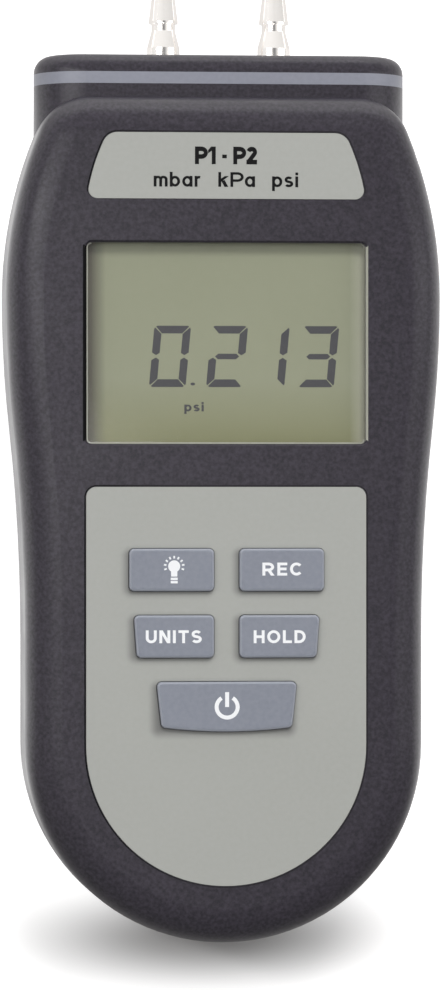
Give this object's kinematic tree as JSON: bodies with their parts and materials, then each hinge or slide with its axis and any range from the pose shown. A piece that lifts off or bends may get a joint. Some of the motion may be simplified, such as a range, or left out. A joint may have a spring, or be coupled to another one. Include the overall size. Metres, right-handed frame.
{
  "type": "handheld digital differential manometer",
  "caption": "Handheld differential pressure meter with a waisted two-shell housing, display window, press keys and twin barbed hose ports on its end cap.",
  "frame": {"origin": "middle of the flat back of the housing", "axes": "+X across the meter to the right of its display, +Y along it towards the pressure ports, +Z out of the display. The meter lies on its back."},
  "size_m": [0.0782, 0.1705, 0.0392],
  "materials": {
    "housing": "matte",
    "ring": "satin",
    "plated": "satin",
    "brass": "satin",
    "seal": "matte",
    "plate": "satin",
    "window": "gloss",
    "lcd": "gloss",
    "black_plastic": "satin",
    "diffuser": "satin",
    "board": "satin",
    "chip": "satin",
    "sensor": "satin",
    "tube": "satin",
    "mat": "matte",
    "key": "satin",
    "battery": "satin",
    "lead": "satin",
    "foam": "matte",
    "steel": "satin"
  },
  "bodies": {
    "housing": {"accent_ring": "ring", "backlight": "diffuser", "battery": "battery", "battery_door": "housing", "battery_leads": "lead", "battery_pad": "foam", "battery_snap": "black_plastic", "board_chips": "chip", "board_screws": "steel", "buzzer": "chip", "case_screws": "steel", "circuit_board": "board", "contact_strips": "seal", "display_window": "window", "door_screw": "steel", "end_cap": "housing", "front_shell": "housing", "keypad_mat": "mat", "keypad_overlay": "plate", "lcd_frame": "black_plastic", "lcd_glass": "lcd", "nameplate": "plate", "port_left": "plated", "port_nuts": "brass", "port_right": "plated", "port_seals": "seal", "pressure_sensor": "sensor", "rear_label": "plate", "rear_shell": "housing", "sensor_tube_left": "tube", "sensor_tube_right": "tube"},
    "hold_key": {"key_hold": "key"},
    "light_key": {"key_light": "key"},
    "power_key": {"key_power": "key"},
    "rec_key": {"key_rec": "key"},
    "units_key": {"key_units": "key"}
  },
  "joints": [
    {"name": "hold_press", "type": "slide", "parent": "housing", "child": "hold_key", "axis": [0, 0, -1], "range_m": [0, 0.001], "stiffness_N_per_m": 250, "springref_m": -0.0002},
    {"name": "light_press", "type": "slide", "parent": "housing", "child": "light_key", "axis": [0, 0, -1], "range_m": [0, 0.001], "stiffness_N_per_m": 250, "springref_m": -0.0002},
    {"name": "power_press", "type": "slide", "parent": "housing", "child": "power_key", "axis": [0, 0, -1], "range_m": [0, 0.001], "stiffness_N_per_m": 250, "springref_m": -0.0002},
    {"name": "rec_press", "type": "slide", "parent": "housing", "child": "rec_key", "axis": [0, 0, -1], "range_m": [0, 0.001], "stiffness_N_per_m": 250, "springref_m": -0.0002},
    {"name": "units_press", "type": "slide", "parent": "housing", "child": "units_key", "axis": [0, 0, -1], "range_m": [0, 0.001], "stiffness_N_per_m": 250, "springref_m": -0.0002}
  ]
}
